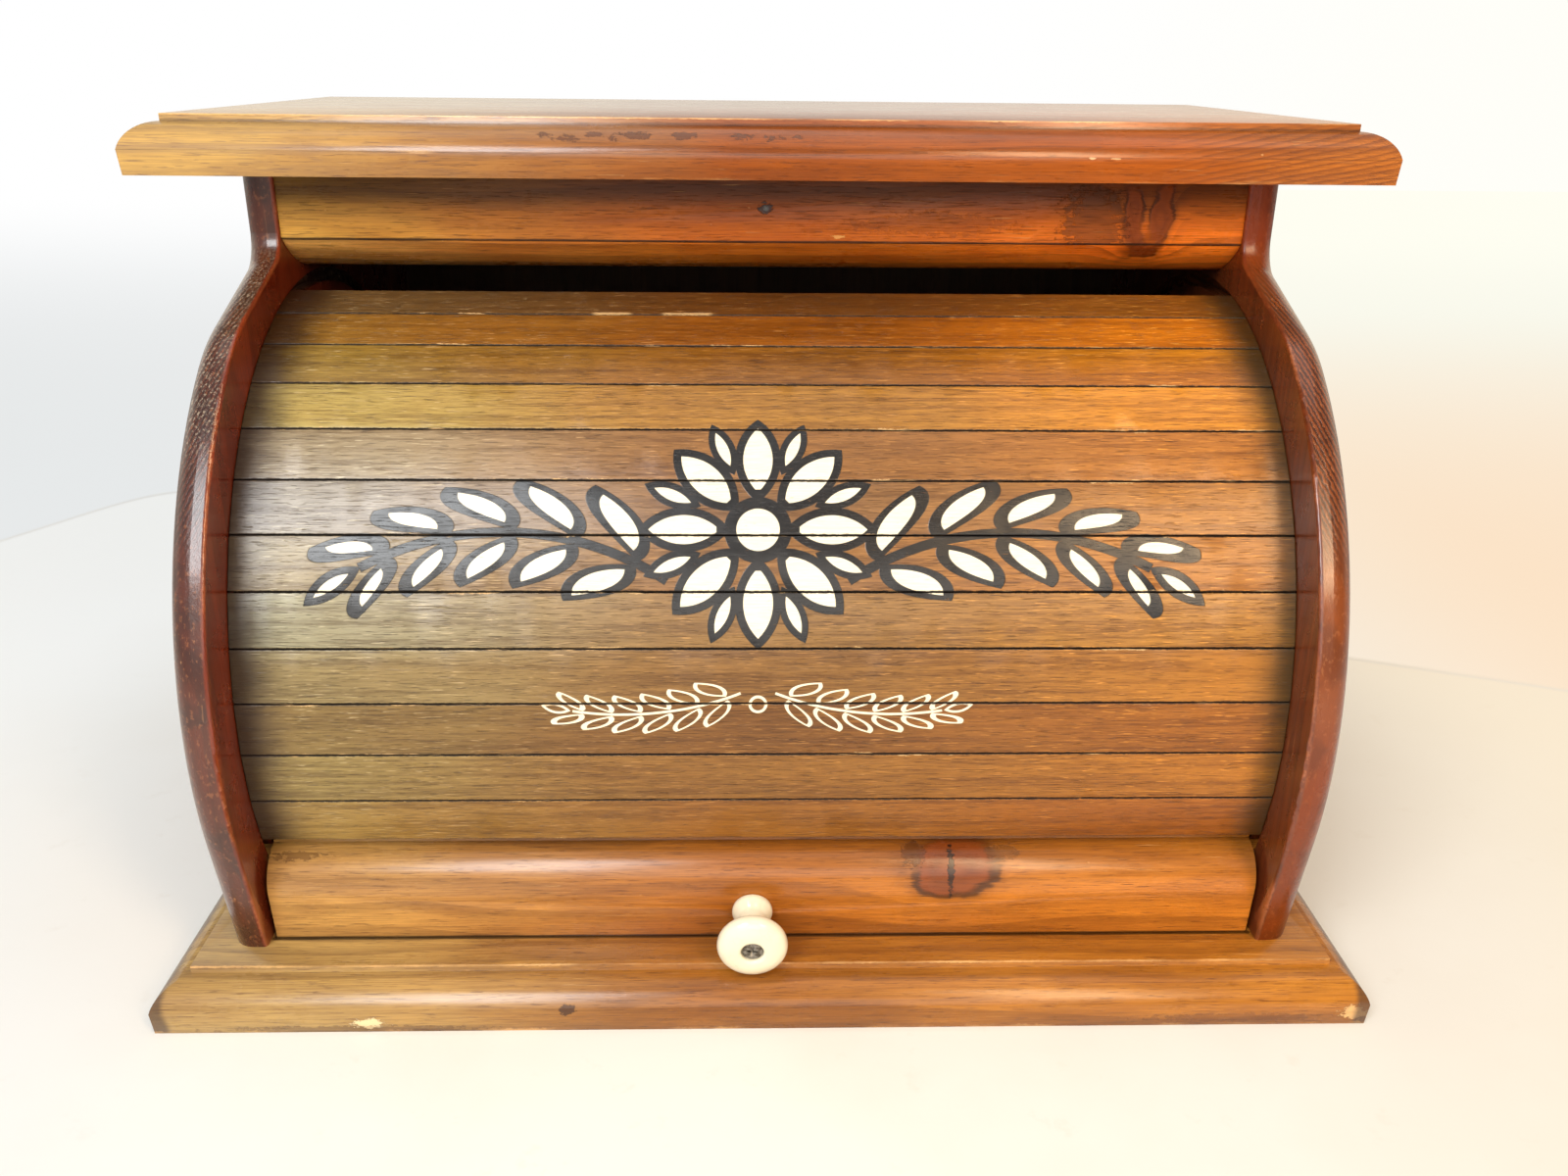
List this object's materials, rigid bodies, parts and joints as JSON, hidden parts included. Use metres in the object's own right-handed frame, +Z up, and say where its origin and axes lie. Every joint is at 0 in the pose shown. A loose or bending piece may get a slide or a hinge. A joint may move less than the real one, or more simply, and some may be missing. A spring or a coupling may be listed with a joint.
{
  "type": "roll-front bread box",
  "caption": "Wooden bread box with a roll-up slatted curtain that runs in round grooves in its two S-shaped sides, and a porcelain knob.",
  "frame": {"origin": "middle of the underside of the base board, on the surface the box stands on", "axes": "+X to the right of someone facing the curtain, +Y from front to back, +Z up"},
  "size_m": [0.425, 0.3016, 0.287],
  "materials": {
    "pine_case": "honey-orange lacquered pine, satin to gloss",
    "stained_side": "dark red-brown stained pine, gloss",
    "slat_wood": "walnut-brown stained slats, satin",
    "thin_panel": "thin plywood, stained, matt",
    "plain_pine": "bare pine",
    "canvas": "plain woven cotton cloth",
    "porcelain": "cream glazed porcelain",
    "steel": "dull zinc-plated steel"
  },
  "bodies": {
    "case": {"base_board": "pine_case", "top_board": "pine_case", "left_side": "stained_side", "right_side": "stained_side", "back_panel": "thin_panel", "valance_board": "pine_case", "valance_strip": "pine_case", "front_cleat": "plain_pine", "rear_cleat": "plain_pine", "base_screws": "steel", "cleat_screws": "steel", "back_nails": "steel", "top_dowels": "plain_pine", "valance_pin": "steel"},
    "curtain": {"slat_01": "slat_wood", "slat_02": "slat_wood", "slat_03": "slat_wood", "slat_04": "slat_wood", "slat_05": "slat_wood", "slat_06": "slat_wood", "slat_07": "slat_wood", "slat_08": "slat_wood", "slat_09": "slat_wood", "slat_10": "slat_wood", "slat_11": "slat_wood", "slat_12": "slat_wood", "canvas_backing": "canvas", "lift_rail": "pine_case", "knob": "porcelain", "knob_screw": "steel"}
  },
  "joints": [
    {"name": "curtain_roll", "type": "hinge", "parent": "case", "child": "curtain", "pos_m": [0, 0.0074, 0.096], "axis": [-1, 0, 0], "range_deg": [0, 92]}
  ]
}
